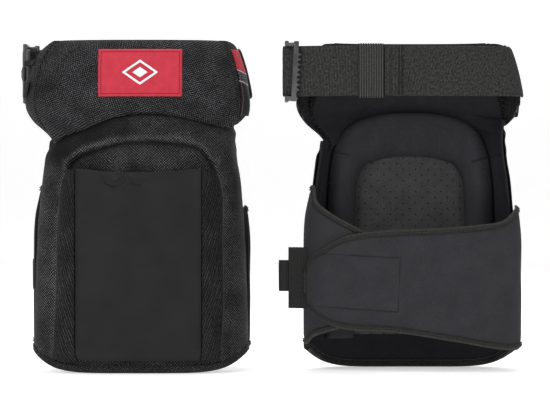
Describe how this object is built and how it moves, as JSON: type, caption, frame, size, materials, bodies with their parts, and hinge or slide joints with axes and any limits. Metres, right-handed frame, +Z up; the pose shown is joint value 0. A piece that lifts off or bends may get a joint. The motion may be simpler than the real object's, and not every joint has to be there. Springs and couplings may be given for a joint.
{
  "type": "strap-on knee pads",
  "caption": "Mirrored pair of work knee pads: curved woven shells with kneeling inserts, foam arches, thigh straps with hook clips and hook-and-loop calf flaps.",
  "frame": {"origin": "on the floor under the middle of the pair", "axes": "+X from the left pad to the right pad, across both knees; +Z up the legs; the left pad's front faces -Y and the right pad's front faces +Y"},
  "size_m": [0.5062, 0.1272, 0.33],
  "materials": {
    "woven": "coarse ballistic nylon, diagonal rib weave",
    "wear_fabric": "smooth tight satin weave",
    "neoprene": "jersey faced neoprene, matt",
    "foam": "fabric covered closed-cell foam, matt",
    "knee_rest": "perforated felted foam",
    "binding": "ribbed edge tape and webbing, matt",
    "elastic": "knitted elastic webbing",
    "plastic": "moulded acetal, satin",
    "label": "woven label, matt",
    "side_print": "printed woven label"
  },
  "bodies": {
    "left_pad": {"left_outer_cover": "woven", "left_thigh_panel": "woven", "left_buckle_wing": "woven", "left_strap_wing": "woven", "left_pocket_gusset_buckle_side": "woven", "left_pocket_gusset_strap_side": "woven", "left_wear_panel": "wear_fabric", "left_inner_lining": "neoprene", "left_thigh_lining": "neoprene", "left_bolster": "foam", "left_knee_rest": "knee_rest", "left_hem_binding": "binding", "left_anchor_webbing": "binding", "left_anchor_bar": "plastic", "left_label_patch": "label", "left_side_label": "side_print"},
    "left_long_flap": {"left_long_flap": "neoprene", "left_long_flap_binding": "binding", "left_hook_patch": "binding", "left_closure_tab": "binding"},
    "left_pull_loop": {"left_pull_loop": "binding"},
    "left_short_flap": {"left_short_flap": "neoprene", "left_short_flap_binding": "binding"},
    "left_strap": {"left_top_strap": "elastic", "left_strap_hem": "elastic", "left_strap_clip": "plastic"},
    "left_keeper": {"left_strap_keeper": "binding"},
    "left_insert": {"left_kneeling_insert": "foam"},
    "right_pad": {"right_outer_cover": "woven", "right_thigh_panel": "woven", "right_buckle_wing": "woven", "right_strap_wing": "woven", "right_pocket_gusset_buckle_side": "woven", "right_pocket_gusset_strap_side": "woven", "right_wear_panel": "wear_fabric", "right_inner_lining": "neoprene", "right_thigh_lining": "neoprene", "right_bolster": "foam", "right_knee_rest": "knee_rest", "right_hem_binding": "binding", "right_anchor_webbing": "binding", "right_anchor_bar": "plastic", "right_label_patch": "label", "right_side_label": "side_print"},
    "right_long_flap": {"right_long_flap": "neoprene", "right_long_flap_binding": "binding", "right_hook_patch": "binding", "right_closure_tab": "binding"},
    "right_pull_loop": {"right_pull_loop": "binding"},
    "right_short_flap": {"right_short_flap": "neoprene", "right_short_flap_binding": "binding"},
    "right_strap": {"right_top_strap": "elastic", "right_strap_hem": "elastic", "right_strap_clip": "plastic"},
    "right_keeper": {"right_strap_keeper": "binding"},
    "right_insert": {"right_kneeling_insert": "foam"}
  },
  "joints": [
    {"name": "right_pad_slide", "type": "slide", "parent": "left_pad", "child": "right_pad", "axis": [1, 0, 0], "range_m": [0, 0.1]},
    {"name": "left_long_flap_hinge", "type": "hinge", "parent": "left_pad", "child": "left_long_flap", "pos_m": [-0.0203, 0.002, 0.1], "axis": [0, 0, -1], "range_deg": [0, 70]},
    {"name": "left_short_flap_hinge", "type": "hinge", "parent": "left_pad", "child": "left_short_flap", "pos_m": [-0.2403, 0.002, 0.1], "axis": [0, 0, 1], "range_deg": [0, 35]},
    {"name": "left_strap_hinge", "type": "hinge", "parent": "left_pad", "child": "left_strap", "pos_m": [-0.0168, 0, 0.299], "axis": [0, 0, -1], "range_deg": [0, 60]},
    {"name": "left_keeper_slide", "type": "slide", "parent": "left_strap", "child": "left_keeper", "axis": [1, 0, 0], "range_m": [-0.012, 0]},
    {"name": "left_insert_slide", "type": "slide", "parent": "left_pad", "child": "left_insert", "axis": [0, 0, 1], "range_m": [0, 0.17]},
    {"name": "left_pull_loop_hinge", "type": "hinge", "parent": "left_long_flap", "child": "left_pull_loop", "pos_m": [-0.23428, 0.04621, 0.0955], "axis": [0, 0, -1], "range_deg": [-30, 30]},
    {"name": "right_long_flap_hinge", "type": "hinge", "parent": "right_pad", "child": "right_long_flap", "pos_m": [0.2517, -0.002, 0.1], "axis": [0, 0, 1], "range_deg": [0, 70]},
    {"name": "right_short_flap_hinge", "type": "hinge", "parent": "right_pad", "child": "right_short_flap", "pos_m": [0.0317, -0.002, 0.1], "axis": [0, 0, -1], "range_deg": [0, 35]},
    {"name": "right_strap_hinge", "type": "hinge", "parent": "right_pad", "child": "right_strap", "pos_m": [0.2552, 0, 0.299], "axis": [0, 0, 1], "range_deg": [0, 60]},
    {"name": "right_keeper_slide", "type": "slide", "parent": "right_strap", "child": "right_keeper", "axis": [1, 0, 0], "range_m": [-0.012, 0]},
    {"name": "right_insert_slide", "type": "slide", "parent": "right_pad", "child": "right_insert", "axis": [0, 0, 1], "range_m": [0, 0.17]},
    {"name": "right_pull_loop_hinge", "type": "hinge", "parent": "right_long_flap", "child": "right_pull_loop", "pos_m": [0.01746, -0.01907, 0.0955], "axis": [0, 0, 1], "range_deg": [-30, 30]}
  ],
  "couplings": [
    {"joint": "left_short_flap_hinge", "follows": "left_long_flap_hinge", "ratio": 0.5},
    {"joint": "right_short_flap_hinge", "follows": "right_long_flap_hinge", "ratio": 0.5}
  ]
}
